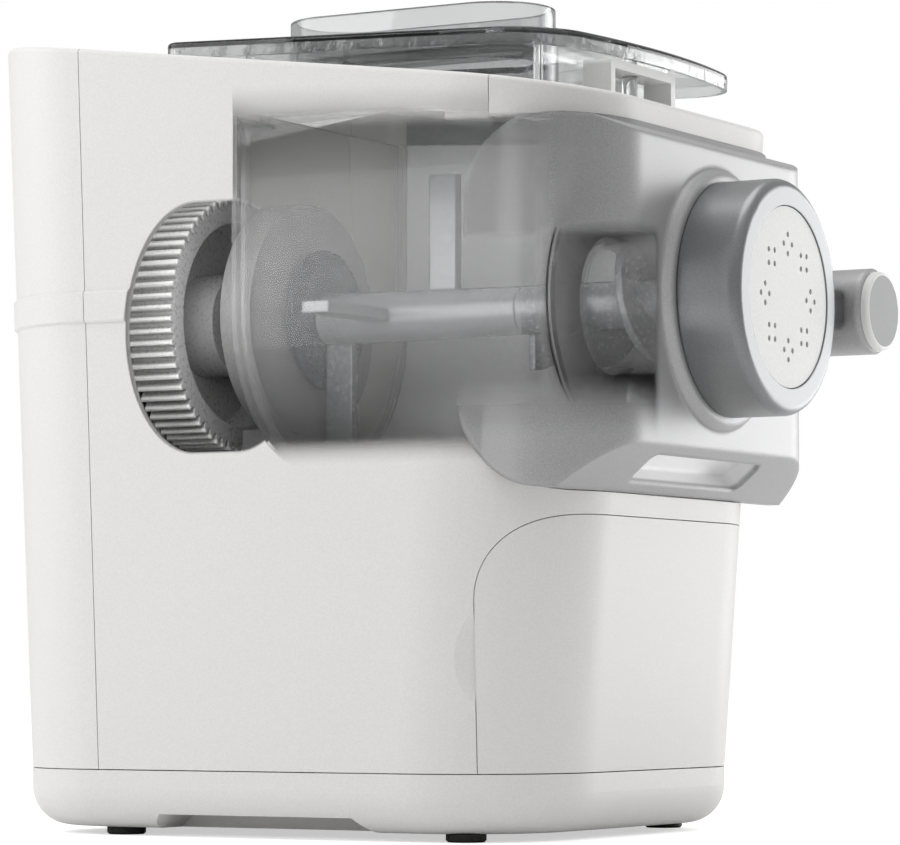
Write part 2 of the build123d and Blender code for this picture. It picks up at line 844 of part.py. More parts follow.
# Mixing chamber: clear trough with a mouth for the auger, a hole for the drive
# shaft, two ribs round its rear end and a deflector above the mouth.
with BuildPart() as chamber_block:
    add(trough(chamber_outer, chamber_rear_y, chamber_front_y))
    fillet(chamber_block.faces().sort_by(Axis.Y)[0].edges(), chamber_corner)

with BuildPart() as chamber_space:
    add(trough(chamber_radius, chamber_rear_y - chamber_wall, chamber_front_y + chamber_wall))
    fillet(chamber_space.faces().sort_by(Axis.Y)[0].edges(), chamber_corner - chamber_wall)

with BuildPart() as mixing_chamber:
    add(chamber_block.part)
    for rib_y in (chamber_rear_y, chamber_rear_y - rib_pitch):
        add(trough(chamber_outer + rib_height, rib_y, rib_y - rib_width))
    add(chamber_space.part, mode=Mode.SUBTRACT)
    add(slab((-ledge_half_width, chamber_front_y + chamber_wall / 2, ledge_height - chamber_wall),
             (ledge_half_width, ledge_rear_y, ledge_height)))
    for side in (-1, 1):
        inner = side * (ledge_half_width - ledge_cheek)
        outer = side * ledge_half_width
        add(slab((min(inner, outer), chamber_front_y + chamber_wall / 2,
                  ledge_height - ledge_cheek_height),
                 (max(inner, outer), ledge_rear_y, ledge_height)))
    split(bisect_by=tilted_plane(rim_height(0), rim_slope), keep=Keep.BOTTOM)
    add(ring_between(chamber_rear_y + overrun, chamber_rear_y - 2 * chamber_wall, axis_height,
                     shaft_radius + shaft_hole_gap), mode=Mode.SUBTRACT)
    add(ring_between(0, chamber_front_y - overrun, axis_height, tube_bore), mode=Mode.SUBTRACT)
finish(mixing_chamber, "mixing_chamber")

# Shaft seal: rubber lip ring on the inside of the chamber's rear wall.
seal_rear_y = chamber_rear_y - chamber_wall - seat_gap
with BuildPart() as shaft_seal:
    add(ring_between(seal_rear_y, seal_rear_y - seal_thickness, axis_height,
                     seal_radius, shaft_radius + running_fit))
finish(shaft_seal, "shaft_seal")

# ---------------------------------------------------------------- mixer
seal_front_y = seal_rear_y - seal_thickness
mixer_rear_y = seal_front_y - slip_fit

# Mixing paddles: four staggered flat arms on a shaft that is plugged onto the
# drive shaft at the rear and carries the auger at the front.
with BuildPart() as mixing_paddles:
    with BuildSketch(facing_front(mixer_rear_y)):
        with Locations((0, axis_height)):
            Circle(mixer_shaft_radius + mixer_taper)
    with BuildSketch(facing_front(auger_rear_y)):
        with Locations((0, axis_height)):
            Circle(mixer_shaft_radius)
    loft()
    for blade_angle, blade_y in zip(blade_angles, blade_rows):
        with BuildSketch(facing_front(blade_y + blade_width / 2)):
            with Locations((0, axis_height)):
                Rectangle(blade_reach, blade_thickness, rotation=blade_angle,
                          align=(Align.MIN, Align.CENTER))
        extrude(amount=blade_width)
    with BuildSketch(facing_front(auger_rear_y)):
        with Locations((0, axis_height)):
            Circle(auger_peg_radius)
    extrude(amount=auger_peg_length)
    add(ring_between(mixer_rear_y, mixer_rear_y - socket_depth, axis_height,
                     spindle_radius + running_fit), mode=Mode.SUBTRACT)
finish(mixing_paddles, "mixing_paddles")

# Auger: one helical flight that presses the dough to the disc.
flight_middle = (auger_radius + mixer_shaft_radius) / 2
auger_length = auger_rear_y - auger_front_y
with BuildPart() as auger_flight:
    with BuildLine() as flight_path:
        Helix(pitch=auger_pitch, height=auger_length - auger_pitch / 4, radius=flight_middle,
              center=(0, auger_rear_y - flight_thickness, axis_height), direction=(0, -1))
    flight_start = flight_path.line @ 0
    with BuildSketch(Plane(origin=flight_start, z_dir=flight_path.line % 0,
                           x_dir=flight_start - Vector(0, flight_start.Y, axis_height))):
        Rectangle(auger_radius - mixer_shaft_radius + 2 * flight_root, flight_thickness)
    sweep(path=flight_path.line, is_frenet=True)

with BuildPart() as auger:
    add(ring_between(auger_rear_y - seat_gap, auger_front_y, axis_height, mixer_shaft_radius))
    add(auger_flight.part)
    add(ring_between(auger_rear_y - seat_gap, auger_front_y, axis_height, auger_radius),
        mode=Mode.INTERSECT)
    add(ring_between(auger_rear_y, auger_rear_y - auger_peg_length - peg_end_gap, axis_height,
                     auger_peg_radius + running_fit), mode=Mode.SUBTRACT)
finish(auger, "auger")

# ---------------------------------------------------------------- drive
def involute(angle):
    """Involute function of a pressure angle in radians."""
    return tan(angle) - angle


def tooth_half_angle(radius, pitch_radius, teeth):
    """Half the angle that a tooth takes up at a radius."""
    pressure = radians(20)
    base_radius = pitch_radius * cos(pressure)
    thickness = pi * pitch_radius / teeth - gear_backlash / 2
    local_pressure = acos(min(1, base_radius / radius))
    return thickness / (2 * pitch_radius) + involute(pressure) - involute(local_pressure)


def gear_points(module, teeth, first_angle, flank_steps=3):
    """Outline of an involute gear; first_angle is the middle of one tooth, in degrees."""
    pitch_radius = module * teeth / 2
    root = pitch_radius - root_depth * module
    tip = pitch_radius + tip_height * module
    start = max(root, pitch_radius * cos(radians(20)))
    flank = [start + (tip - start) * step / flank_steps for step in range(flank_steps + 1)]
    points = []
    for tooth in range(teeth):
        middle = radians(first_angle) + 2 * pi * tooth / teeth
        rising = [(radius, -tooth_half_angle(radius, pitch_radius, teeth)) for radius in flank]
        if start > root:
            rising.insert(0, (root, rising[0][1]))
        falling = [(radius, -angle) for radius, angle in reversed(rising)]
        for radius, angle in rising + falling:
            points.append((radius * cos(middle + angle), radius * sin(middle + angle)))
    return points


def gear_disc(module, teeth, first_angle, rear, front, height):
    """Toothed disc about a line along the machine."""
    with BuildPart() as disc:
        with BuildSketch(Plane(origin=(0, rear, height), x_dir=(1, 0, 0), z_dir=(0, -1, 0))):
            with BuildLine():
                Polyline(*gear_points(module, teeth, first_angle), close=True)
            make_face()
        extrude(amount=rear - front)
    return disc.part


# Drive gear: large moulded spur gear with a deep dished web and a hub.
with BuildPart() as drive_gear:
    add(gear_disc(drive_module, drive_teeth, -90 + 180 / drive_teeth, drive_gear_rear_y,
                  drive_gear_front_y, axis_height))
    add(ring_between(drive_gear_rear_y - gear_web, drive_gear_front_y - overrun, axis_height,
                     gear_rim_bore, gear_hub_radius), mode=Mode.SUBTRACT)
    add(ring_between(drive_gear_rear_y + overrun, drive_gear_front_y - overrun, axis_height,
                     shaft_radius + running_fit), mode=Mode.SUBTRACT)
finish(drive_gear, "drive_gear")

shaft_step_y = mixer_rear_y + seat_gap

# Drive shaft: steel, stepped down to the spindle that turns the paddles.
with BuildPart() as drive_shaft:
    add(ring_between(shaft_rear_y, shaft_step_y, axis_height, shaft_radius))
    add(ring_between(shaft_step_y, mixer_rear_y - socket_depth + peg_end_gap, axis_height,
                     spindle_radius))
    chamfer(drive_shaft.faces().sort_by(Axis.Y)[0].edges(), shaft_chamfer)
    chamfer(drive_shaft.faces().sort_by(Axis.Y)[-1].edges(), shaft_chamfer)
finish(drive_shaft, "drive_shaft")

# Bearing housing: round grey boss behind the chamber, with a nose that reaches
# into the dish of the gear and an arm back to the motor mount.
with BuildPart() as bearing_housing:
    add(ring_between(housing_rear_y, housing_front_y, axis_height, housing_radius))
    add(ring_between(housing_rear_y + overrun, housing_front_y + housing_wall, axis_height,
                     housing_radius - housing_wall, bush_radius + housing_wall),
        mode=Mode.SUBTRACT)
    add(ring_between(housing_nose_y, housing_front_y, axis_height, bush_radius + housing_wall))
    add(slab((-housing_arm, housing_front_y, mount_top - housing_arm),
             (housing_arm, motor_mount_front_y - seat_gap,
              axis_height - housing_radius + housing_wall)))
    add(ring_between(housing_nose_y + overrun, housing_front_y - overrun, axis_height,
                     bush_radius + running_fit), mode=Mode.SUBTRACT)
finish(bearing_housing, "bearing_housing")

with BuildPart() as front_bush:
    add(ring_between(housing_nose_y, housing_nose_y - bush_length, axis_height, bush_radius,
                     shaft_radius + running_fit))
finish(front_bush, "front_bush")

# Gear plate: stands on the tray behind the gears, with four pillars that reach
# forward to the motor mount.
pillar_places = [(side * pillar_x, idler_height - drop) for side in (-1, 1) for drop in pillar_drops]

with BuildPart() as gear_plate:
    with BuildSketch(facing_front(gear_plate_rear_y)):
        with Locations((0, (tray_floor + seat_gap + plate_shoulder) / 2)):
            Rectangle(2 * plate_half_width, plate_shoulder - tray_floor - seat_gap)
        with Locations((0, axis_height)):
            Circle(plate_head_radius)
        with Locations((0, (plate_shoulder + axis_height) / 2)):
            Rectangle(2 * plate_head_radius, axis_height - plate_shoulder)
    extrude(amount=gear_plate_thickness)
    with BuildSketch(facing_front(gear_plate_y)):
        with Locations(*pillar_places):
            Circle(pillar_radius)
    extrude(amount=gear_plate_y - motor_mount_front_y - mount_thickness - seat_gap)
    with BuildSketch(facing_front(gear_plate_rear_y)):
        with Locations((0, axis_height)):
            Circle(bush_radius + running_fit)
        with Locations((0, idler_height)):
            Circle(idler_pin_radius + running_fit)
    extrude(amount=gear_plate_thickness, mode=Mode.SUBTRACT)
finish(gear_plate, "gear_plate")

with BuildPart() as rear_bush:
    add(ring_between(gear_plate_rear_y, gear_plate_y, axis_height, bush_radius,
                     shaft_radius + running_fit))
finish(rear_bush, "rear_bush")

# Motor mount: upright plate that the motor is screwed to.
with BuildPart() as motor_mount:
    add(slab((-plate_half_width, motor_mount_front_y, tray_floor + seat_gap),
             (plate_half_width, motor_mount_front_y + mount_thickness, mount_top)))
    fillet(motor_mount.edges().filter_by(Axis.Y).group_by(Axis.Z)[-1], mount_corner)
    with BuildSketch(facing_front(motor_mount_front_y + mount_thickness)):
        with Locations((0, motor_height)):
            Circle(motor_nose_radius + slip_fit)
        with Locations((0, idler_height)):
            Circle(idler_pin_radius + running_fit)
    extrude(amount=mount_thickness, mode=Mode.SUBTRACT)
finish(motor_mount, "motor_mount")

with BuildPart() as idler_pin:
    add(ring_between(gear_plate_rear_y + pin_stand_out, motor_mount_front_y, idler_height,
                     idler_pin_radius))
    chamfer(idler_pin.faces().sort_by(Axis.Y)[-1].edges(), shaft_chamfer)
finish(idler_pin, "idler_pin")

# Idler: one moulding of the pinion that turns the drive gear and the wheel that
# the motor turns.
with BuildPart() as idler_gear:
    add(gear_disc(drive_module, pinion_teeth, 90, idler_wheel_front_y, drive_gear_front_y,
                  idler_height))
    add(gear_disc(idler_module, idler_teeth, -90 + 180 / idler_teeth, idler_wheel_rear_y,
                  idler_wheel_front_y, idler_height))
    add(ring_between(idler_wheel_rear_y + overrun, drive_gear_front_y - overrun, idler_height,
                     idler_pin_radius + running_fit), mode=Mode.SUBTRACT)
finish(idler_gear, "idler_gear")

# Motor: steel can with end plates and a nose, two curved magnets, and a wound
# rotor with commutator, pinion and fan.
with BuildPart() as motor_case:
    add(ring_between(motor_rear_y, motor_front_y, motor_height, motor_radius))
    chamfer(motor_case.edges().filter_by(GeomType.CIRCLE), motor_edge)
    add(ring_between(motor_rear_y - motor_wall, motor_front_y + motor_wall, motor_height,
                     motor_radius - motor_wall), mode=Mode.SUBTRACT)
    add(ring_between(motor_mount_front_y + mount_thickness / 2, motor_rear_y - motor_wall / 2,
                     motor_height, motor_nose_radius))
    with BuildSketch(Plane.XY.offset(motor_height)):
        with GridLocations(0, motor_vent_pitch, 1, 2):
            with Locations((0, (motor_front_y + motor_rear_y) / 2)):
                SlotOverall(2 * (motor_radius + overrun), motor_vent_width)
    extrude(amount=motor_vent_width / 2, both=True, mode=Mode.SUBTRACT)
    add(ring_between(motor_rear_y + overrun, motor_front_y - overrun, motor_height,
                     motor_shaft_radius + running_fit), mode=Mode.SUBTRACT)
finish(motor_case, "motor_case")

with BuildPart() as motor_magnets:
    add(ring_between(armature_rear_y, armature_front_y, motor_height,
                     motor_radius - motor_wall - seat_gap, armature_radius + armature_gap))
    add(slab((-magnet_gap, armature_front_y - overrun, motor_height - motor_radius),
             (magnet_gap, armature_rear_y + overrun, motor_height + motor_radius)),
        mode=Mode.SUBTRACT)
finish(motor_magnets, "motor_magnets")

with BuildPart() as motor_rotor:
    with BuildSketch(facing_front(armature_rear_y)):
        with Locations((0, motor_height)):
            Circle(armature_radius)
            with PolarLocations(armature_radius - armature_slot / 2, armature_slots):
                Rectangle(armature_slot, armature_slot_width, mode=Mode.SUBTRACT)
    extrude(amount=armature_rear_y - armature_front_y)
    add(ring_between(commutator_rear_y, armature_rear_y, motor_height, commutator_radius))
    add(ring_between(motor_shaft_rear_y, fan_front_y - pin_stand_out, motor_height,
                     motor_shaft_radius))
finish(motor_rotor, "motor_rotor")

with BuildPart() as motor_pinion:
    add(gear_disc(idler_module, motor_pinion_teeth, 90, idler_wheel_rear_y,
                  idler_wheel_front_y, motor_height))
    add(ring_between(idler_wheel_rear_y + overrun, idler_wheel_front_y - overrun, motor_height,
                     motor_shaft_radius), mode=Mode.SUBTRACT)
finish(motor_pinion, "motor_pinion")

with BuildPart() as cooling_fan:
    with BuildSketch(facing_front(fan_rear_y)):
        with Locations((0, motor_height)):
            Circle(fan_hub_radius)
            with PolarLocations((fan_radius + fan_hub_radius - fan_blade_root) / 2, fan_blades):
                Rectangle(fan_radius - fan_hub_radius + fan_blade_root, fan_blade_thickness)
            Circle(motor_shaft_radius, mode=Mode.SUBTRACT)
    extrude(amount=fan_rear_y - fan_front_y)
finish(cooling_fan, "cooling_fan")

# ---------------------------------------------------------------- front panel
def bulge(inset):
    """Raised front of the panel above its flange, moved inwards by inset."""
    face = panel_face_y + inset
    low = panel_bottom + inset
    high = panel_top - crown_margin - inset
    width = 2 * (bulge_half_width - inset)
    with BuildPart() as block:
        with BuildSketch(Plane.XY.offset(low)):
            with Locations((0, (face + bulge_seat_y) / 2)):
                Rectangle(width, bulge_seat_y - face)
        extrude(amount=high - low)
        fillet(block.edges().filter_by(Axis.Z).group_by(Axis.Y)[0], bulge_corner - inset)
        with BuildSketch(Plane.YZ):
            with BuildLine():
                Polyline((face, low + chin_height), (face + chin_depth, low),
                         (bulge_seat_y, low), (bulge_seat_y, high),
                         (face + crown_depth, high), (face, high - crown_height), close=True)
            make_face()
        extrude(amount=body_width, both=True, mode=Mode.INTERSECT)
    return block.part


chin_plane = Plane(origin=(0, panel_face_y + chin_depth / 2, panel_bottom + chin_height / 2),
                   x_dir=(-1, 0, 0), z_dir=(0, -chin_height, -chin_depth))

with BuildPart() as panel_inside:
    add(body_block(panel_wall - panel_proud, panel_bottom - overrun, panel_top + overrun))
    add(bulge(panel_wall))

with BuildPart() as boss:
    add(ring_between(panel_face_y + panel_wall, panel_face_y - boss_depth, axis_height,
                     boss_radius))
    chamfer(boss.faces().sort_by(Axis.Y)[0].edges(), boss_chamfer)

# Front panel: the silver cover with its flange, chin grip and boss.
with BuildPart() as front_panel:
    add(body_block(-panel_proud, panel_bottom - overrun, panel_top + overrun))
    add(bulge(0))
    add(panel_window(0), mode=Mode.INTERSECT)
    add(panel_inside.part, mode=Mode.SUBTRACT)
    add(boss.part)
    with BuildSketch(facing_front(panel_face_y + knob_seat_depth)):
        with Locations((knob_x, axis_height)):
            Circle(knob_radius + knob_seat_rim)
    extrude(amount=knob_seat_depth + panel_face_y - knob_rear_y - seat_gap)
    with BuildSketch(chin_plane.offset(-chin_grip_depth - panel_wall)):
        RectangleRounded(chin_grip_length + 2 * panel_wall, chin_grip_width + 2 * panel_wall,
                         chin_grip_corner)
    extrude(amount=chin_grip_depth + panel_wall / 2)
    with BuildSketch(chin_plane.offset(-chin_grip_depth)):
        RectangleRounded(chin_grip_length, chin_grip_width, chin_grip_corner)
    extrude(amount=2 * chin_grip_depth, mode=Mode.SUBTRACT)
    with BuildSketch(facing_front(bulge_seat_y)):
        with Locations((0, axis_height)):
            Circle(spigot_radius + seat_gap)
        with Locations((knob_x, axis_height)):
            Circle(knob_shank_radius + slip_fit)
    extrude(amount=-2 * panel_face_y, mode=Mode.SUBTRACT)
finish(front_panel, "front_panel")

# Extrusion tube: clear barrel round the auger, with a rear flange on the
# chamber's mouth and a spigot that flares out to the disc.
tube_rear_y = chamber_front_y - gasket_thickness - seat_gap
tube_front_y = ring_front_y + disc_seat_depth
with BuildPart() as extrusion_tube:
    with BuildSketch(Plane.YZ):
        with BuildLine():
            Polyline((tube_rear_y, axis_height + tube_bore),
                     (tube_rear_y, axis_height + tube_flange_radius),
                     (tube_rear_y - tube_flange, axis_height + tube_flange_radius),
                     (tube_rear_y - tube_flange, axis_height + tube_bore + tube_wall),
                     (spigot_rear_y, axis_height + tube_bore + tube_wall),
                     (spigot_rear_y, axis_height + spigot_radius),
                     (groove_rear_y, axis_height + spigot_radius),
                     (groove_rear_y, axis_height + groove_radius),
                     (groove_rear_y - groove_width, axis_height + groove_radius),
                     (groove_rear_y - groove_width, axis_height + spigot_radius),
                     (tube_front_y, axis_height + spigot_radius),
                     (tube_front_y, axis_height + mouth_bore),
                     (spigot_rear_y, axis_height + tube_bore), close=True)
        make_face()
    revolve(axis=Axis((0, 0, axis_height), (0, 1, 0)))
finish(extrusion_tube, "extrusion_tube")

with BuildPart() as tube_gasket:
    add(ring_between(chamber_front_y - seat_gap, tube_rear_y, axis_height,
                     tube_flange_radius - gasket_margin, tube_bore + tube_wall))
finish(tube_gasket, "tube_gasket")

# Shaping disc: held by its flange between the tube and the ring.
disc_rear_y = tube_front_y - seat_gap
with BuildPart() as shaping_disc:
    add(ring_between(disc_rear_y, disc_rear_y - disc_thickness, axis_height,
                     disc_flange_radius))
    add(ring_between(disc_rear_y, ring_front_y + seat_gap * 2, axis_height, disc_radius))
    with BuildSketch(facing_front(disc_rear_y)):
        with Locations((0, axis_height)):
            with PolarLocations(hole_ring_radius, hole_clusters):
                with PolarLocations(hole_cluster_radius, holes_per_cluster):
                    Circle(hole_radius)
    extrude(amount=disc_rear_y - ring_front_y, mode=Mode.SUBTRACT)
finish(shaping_disc, "shaping_disc")

# Locking ring: turned onto the spigot by three lugs that run in its groove.
ring_rear_y = panel_face_y - boss_depth - slip_fit
ring_bore = spigot_radius + slip_fit
lug_height = ring_bore - groove_radius - slip_fit
with BuildPart() as locking_ring:
    add(ring_between(ring_rear_y, ring_front_y, axis_height, ring_radius))
    fillet(locking_ring.faces().sort_by(Axis.Y)[0].edges(), ring_round)
    add(ring_between(ring_rear_y + overrun, disc_rear_y - disc_thickness - seat_gap, axis_height,
                     ring_bore), mode=Mode.SUBTRACT)
    add(ring_between(ring_rear_y, ring_front_y - overrun, axis_height, ring_lip_bore),
        mode=Mode.SUBTRACT)
    with BuildSketch(facing_front(groove_rear_y - slip_fit)):
        with Locations((0, axis_height)):
            with PolarLocations(ring_bore, lug_count, start_angle=90):
                Rectangle(2 * lug_height, lug_width)
    extrude(amount=groove_width - 2 * slip_fit)
finish(locking_ring, "locking_ring")

# Lock knob: turned a quarter to lock the panel to the frame, with a grip recess
# on each side.
knob_body_front_y = knob_front_y + knob_cap_thickness
knob_middle_y = (knob_rear_y + knob_body_front_y) / 2
with BuildPart() as lock_knob:
    with BuildSketch(facing_front(knob_rear_y)):
        with Locations((knob_x, axis_height)):
            Circle(knob_radius)
    extrude(amount=knob_rear_y - knob_body_front_y)
    chamfer(lock_knob.faces().sort_by(Axis.Y)[0].edges(), knob_round)
    for side in (-1, 1):
        with BuildSketch(Plane.YZ.offset(knob_x + side * (knob_radius - knob_grip_depth))):
            with Locations((knob_middle_y, axis_height)):
                RectangleRounded(knob_grip_length, knob_grip_width, knob_grip_corner)
        extrude(amount=side * knob_radius, mode=Mode.SUBTRACT)
finish(lock_knob, "lock_knob")

with BuildPart() as knob_cap:
    with BuildSketch(facing_front(knob_body_front_y)):
        with Locations((knob_x, axis_height)):
            Circle(knob_radius - knob_cap_rim)
    extrude(amount=knob_cap_thickness)
    fillet(knob_cap.faces().sort_by(Axis.Y)[0].edges(), knob_round)
finish(knob_cap, "knob_cap")

with BuildPart() as lock_bolt:
    with BuildSketch(facing_front(bolt_end_y)):
        with Locations((knob_x, axis_height)):
            Circle(knob_shank_radius)
    extrude(amount=bolt_end_y - knob_rear_y)
    chamfer(lock_bolt.faces().sort_by(Axis.Y)[-1].edges(), shaft_chamfer)
finish(lock_bolt, "lock_bolt")

# ---------------------------------------------------------------- lid
# Lid: a clear plate with a bowed front edge, a rim round its edge, a skirt that
# stands on the chamber and an oval chute with a slotted floor.
def lid_outline(height, inset):
    """Plan of the lid on its sloping plane at a height, moved inwards by inset."""
    side = lid_half_width - inset
    shoulder_y = lid_front_y + lid_front_bow + inset
    with BuildSketch(tilted_plane(height, lid_slope)) as plan:
        with BuildLine():
            ThreePointArc((-side, shoulder_y), (0, lid_front_y + inset), (side, shoulder_y))
            Polyline((side, shoulder_y), (side, lid_rear_y - inset), (-side, lid_rear_y - inset),
                     (-side, shoulder_y))
        make_face()
        fillet(plan.vertices().group_by(Axis.Y)[0], lid_front_corner - inset)
        fillet(plan.vertices().group_by(Axis.Y)[-1], lid_rear_corner - inset)
    return plan.sketch


chute_top = lid_underside + chute_rise
chute_foot = lid_underside - chute_drop

with BuildPart() as lid_plate:
    extrude(lid_outline(lid_plate_height, 0), amount=lid_thickness)
    fillet(lid_plate.faces().sort_by(SortBy.AREA)[-2:].sort_by(Axis.Z)[-1].edges(), lid_edge_round)
    with BuildSketch(Plane.XY.offset(chute_foot)):
        with Locations((0, chute_centre_y)):
            SlotOverall(chute_length, chute_width, rotation=90)
    extrude(amount=chute_top - chute_foot, mode=Mode.SUBTRACT)
finish(lid_plate, "lid_plate")

with BuildPart() as lid_rim:
    extrude(lid_outline(lid_underside, 0), amount=(lid_height - lid_thickness) * cos(radians(lid_tilt)))
    extrude(lid_outline(lid_underside, lid_rim_wall), amount=lid_height, mode=Mode.SUBTRACT)
finish(lid_rim, "lid_rim")

skirt_middle_y = (chamber_front_y + chamber_rear_y) / 2
skirt_length = chamber_rear_y - chamber_front_y
with BuildPart() as lid_skirt:
    with BuildSketch(Plane.XY.offset(rim_height(chamber_front_y))):
        with Locations((0, skirt_middle_y)):
            RectangleRounded(2 * chamber_outer, skirt_length, chamber_corner)
            RectangleRounded(2 * (chamber_outer - skirt_wall), skirt_length - 2 * skirt_wall,
                             chamber_corner - skirt_wall, mode=Mode.SUBTRACT)
    extrude(amount=chute_top - rim_height(chamber_front_y))
    split(bisect_by=tilted_plane(rim_height(0) + seat_gap, rim_slope), keep=Keep.TOP)
    split(bisect_by=tilted_plane(lid_plate_height, lid_slope), keep=Keep.BOTTOM)
finish(lid_skirt, "lid_skirt")

# Under the plate the chute ends at the skirt's rear wall.
skirt_rear_y = chamber_rear_y - skirt_wall
with BuildPart() as chute_relief:
    add(slab((-chute_width, skirt_rear_y, chute_foot - overrun),
             (chute_width, skirt_rear_y + chute_length, chute_top)))
    split(bisect_by=tilted_plane(lid_plate_height, lid_slope), keep=Keep.BOTTOM)

with BuildPart() as lid_chute:
    with BuildSketch(Plane.XY.offset(chute_foot)):
        with Locations((0, chute_centre_y)):
            SlotOverall(chute_length, chute_width, rotation=90)
            SlotOverall(chute_length - 2 * chute_wall, chute_width - 2 * chute_wall,
                        rotation=90, mode=Mode.SUBTRACT)
    extrude(amount=chute_top - chute_foot)
    add(chute_relief.part, mode=Mode.SUBTRACT)
    fillet(lid_chute.faces().sort_by(Axis.Z)[-1].edges(), chute_round)
    with BuildSketch(Plane.XY.offset(lid_underside + chute_floor_rise)):
        with Locations((0, chute_centre_y)):
            SlotOverall(chute_length - chute_wall, chute_width - chute_wall, rotation=90)
        with Locations((0, pour_slot_y)):
            SlotOverall(pour_slot_length, pour_slot_width, rotation=90, mode=Mode.SUBTRACT)
    extrude(amount=chute_floor)
finish(lid_chute, "lid_chute")

# Lid key: peg that passes through the catch and presses the lid switch.
with BuildPart() as lid_key:
    with BuildSketch(Plane.XY.offset(switch_top + 2 * seat_gap)):
        with Locations((0, lid_key_y)):
            Circle(lid_key_radius)
    extrude(amount=lid_plate_height - switch_top)
    split(bisect_by=tilted_plane(lid_plate_height, lid_slope), keep=Keep.BOTTOM)
finish(lid_key, "lid_key")

# ---------------------------------------------------------------- drawer
with BuildPart() as drawer_front:
    add(body_block(0, base_seam + seam_gap, drawer_top + overrun))
    add(body_block(shell_wall, base_seam - overrun, drawer_top + 2 * overrun), mode=Mode.SUBTRACT)
    add(drawer_window(0), mode=Mode.INTERSECT)
finish(drawer_front, "drawer_front")

# Drawer tray: open box behind the drawer front, which carries the spare discs.
tray_inset = shell_wall + seat_gap
with BuildPart() as drawer_space:
    add(body_block(tray_inset + drawer_tray_wall, base_seam, drawer_top + overrun))
    add(slab((drawer_tray_wall - drawer_tray_half_width, -body_width,
              drawer_tray_bottom + drawer_tray_wall),
             (drawer_tray_half_width - drawer_tray_wall, drawer_tray_rear_y - drawer_tray_wall,
              drawer_top + overrun)), mode=Mode.INTERSECT)

with BuildPart() as drawer_tray:
    add(body_block(tray_inset, base_seam, drawer_top))
    add(slab((-drawer_tray_half_width, -body_width, drawer_tray_bottom),
             (drawer_tray_half_width, drawer_tray_rear_y, drawer_tray_top)), mode=Mode.INTERSECT)
    add(drawer_space.part, mode=Mode.SUBTRACT)
finish(drawer_tray, "drawer_tray")

drawer_floor = drawer_tray_bottom + drawer_tray_wall
rack_slot = spare_disc_thickness + 2 * slip_fit
rack_rear_y = spare_disc_places[-1] + spare_disc_places[0] - rack_front_y
spare_disc_height = drawer_floor + rack_height - rack_slot_depth + disc_radius
with BuildPart() as disc_rack:
    add(slab((-rack_half_width, rack_front_y, drawer_floor + seat_gap),
             (rack_half_width, rack_rear_y, drawer_floor + rack_height)))
    for disc_y in spare_disc_places:
        add(ring_between(disc_y + rack_slot / 2, disc_y - rack_slot / 2, spare_disc_height,
                         disc_radius + slip_fit), mode=Mode.SUBTRACT)
finish(disc_rack, "disc_rack")

with BuildPart() as spare_discs:
    for disc_y in spare_disc_places:
        add(ring_between(disc_y + spare_disc_thickness / 2, disc_y - spare_disc_thickness / 2,
                         spare_disc_height, disc_radius))
finish(spare_discs, "spare_discs")

# Drawer runners: two rails on the tray's grip pockets, with a ledge under the drawer.
with BuildPart() as drawer_runners:
    for side in (-1, 1):
        outer = side * (drawer_tray_half_width + slip_fit + runner_width)
        inner = side * (drawer_tray_half_width + slip_fit)
        tip = side * (drawer_tray_half_width - runner_width)
        add(slab((min(outer, inner), runner_front_y, grip_ceiling + seat_gap),
                 (max(outer, inner), drawer_tray_rear_y, drawer_tray_bottom + runner_width)))
        add(slab((min(outer, tip), runner_front_y, drawer_tray_bottom - seat_gap - runner_ledge),
                 (max(outer, tip), drawer_tray_rear_y, drawer_tray_bottom - seat_gap)))
finish(drawer_runners, "drawer_runners")
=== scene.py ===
"""Looks of an electric pasta maker, drawn as a ghosted cutaway: its finishes,
its clear lid, the studio and the camera. Lengths are in metres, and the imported
model is the fixed frame."""

import bpy
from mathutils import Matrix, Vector


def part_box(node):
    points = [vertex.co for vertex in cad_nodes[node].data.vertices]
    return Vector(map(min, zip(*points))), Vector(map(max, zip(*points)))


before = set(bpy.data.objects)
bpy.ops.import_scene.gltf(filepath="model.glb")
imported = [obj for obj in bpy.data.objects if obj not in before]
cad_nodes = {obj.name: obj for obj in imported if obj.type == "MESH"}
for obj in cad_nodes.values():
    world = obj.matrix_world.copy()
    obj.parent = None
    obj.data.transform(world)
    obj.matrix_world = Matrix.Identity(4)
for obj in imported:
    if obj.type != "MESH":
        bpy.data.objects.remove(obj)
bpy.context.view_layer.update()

# -------------------------------------------------------------- base tray
# Shallow white tray that closes the bottom of the machine. It is moulded in
# ABS from a spark-eroded tool, so the gloss is satin and very finely grained.
smooth = {"interpolation_type": "SMOOTHSTEP"}
tone_span = (0.35, 0.65)            # of the noise, from the dark tone to the light
gloss_span = (0.3, 0.7)             # of the noise, from the first roughness to the second
grain_depth = 0.0002


def colour(code):
    """Linear RGBA of an sRGB hex code such as "EFEEEC"."""
    channels = [int(code[i:i + 2], 16) / 255 for i in (0, 2, 4)]
    return tuple(c / 12.92 if c <= 0.04045 else ((c + 0.055) / 1.055) ** 2.4
                 for c in channels) + (1.0,)


def feed(node, inputs):
    """Sets a node's sockets, given by name or in their order. A value that is a
    socket is linked, and so is a node, by its first output."""
    pairs = inputs.items() if isinstance(inputs, dict) else enumerate(inputs)
    for socket, value in pairs:
        if isinstance(value, bpy.types.Node):
            value = value.outputs[0]
        if isinstance(value, bpy.types.NodeSocket):
            node.id_data.links.new(value, node.inputs[socket])
        else:
            node.inputs[socket].default_value = value


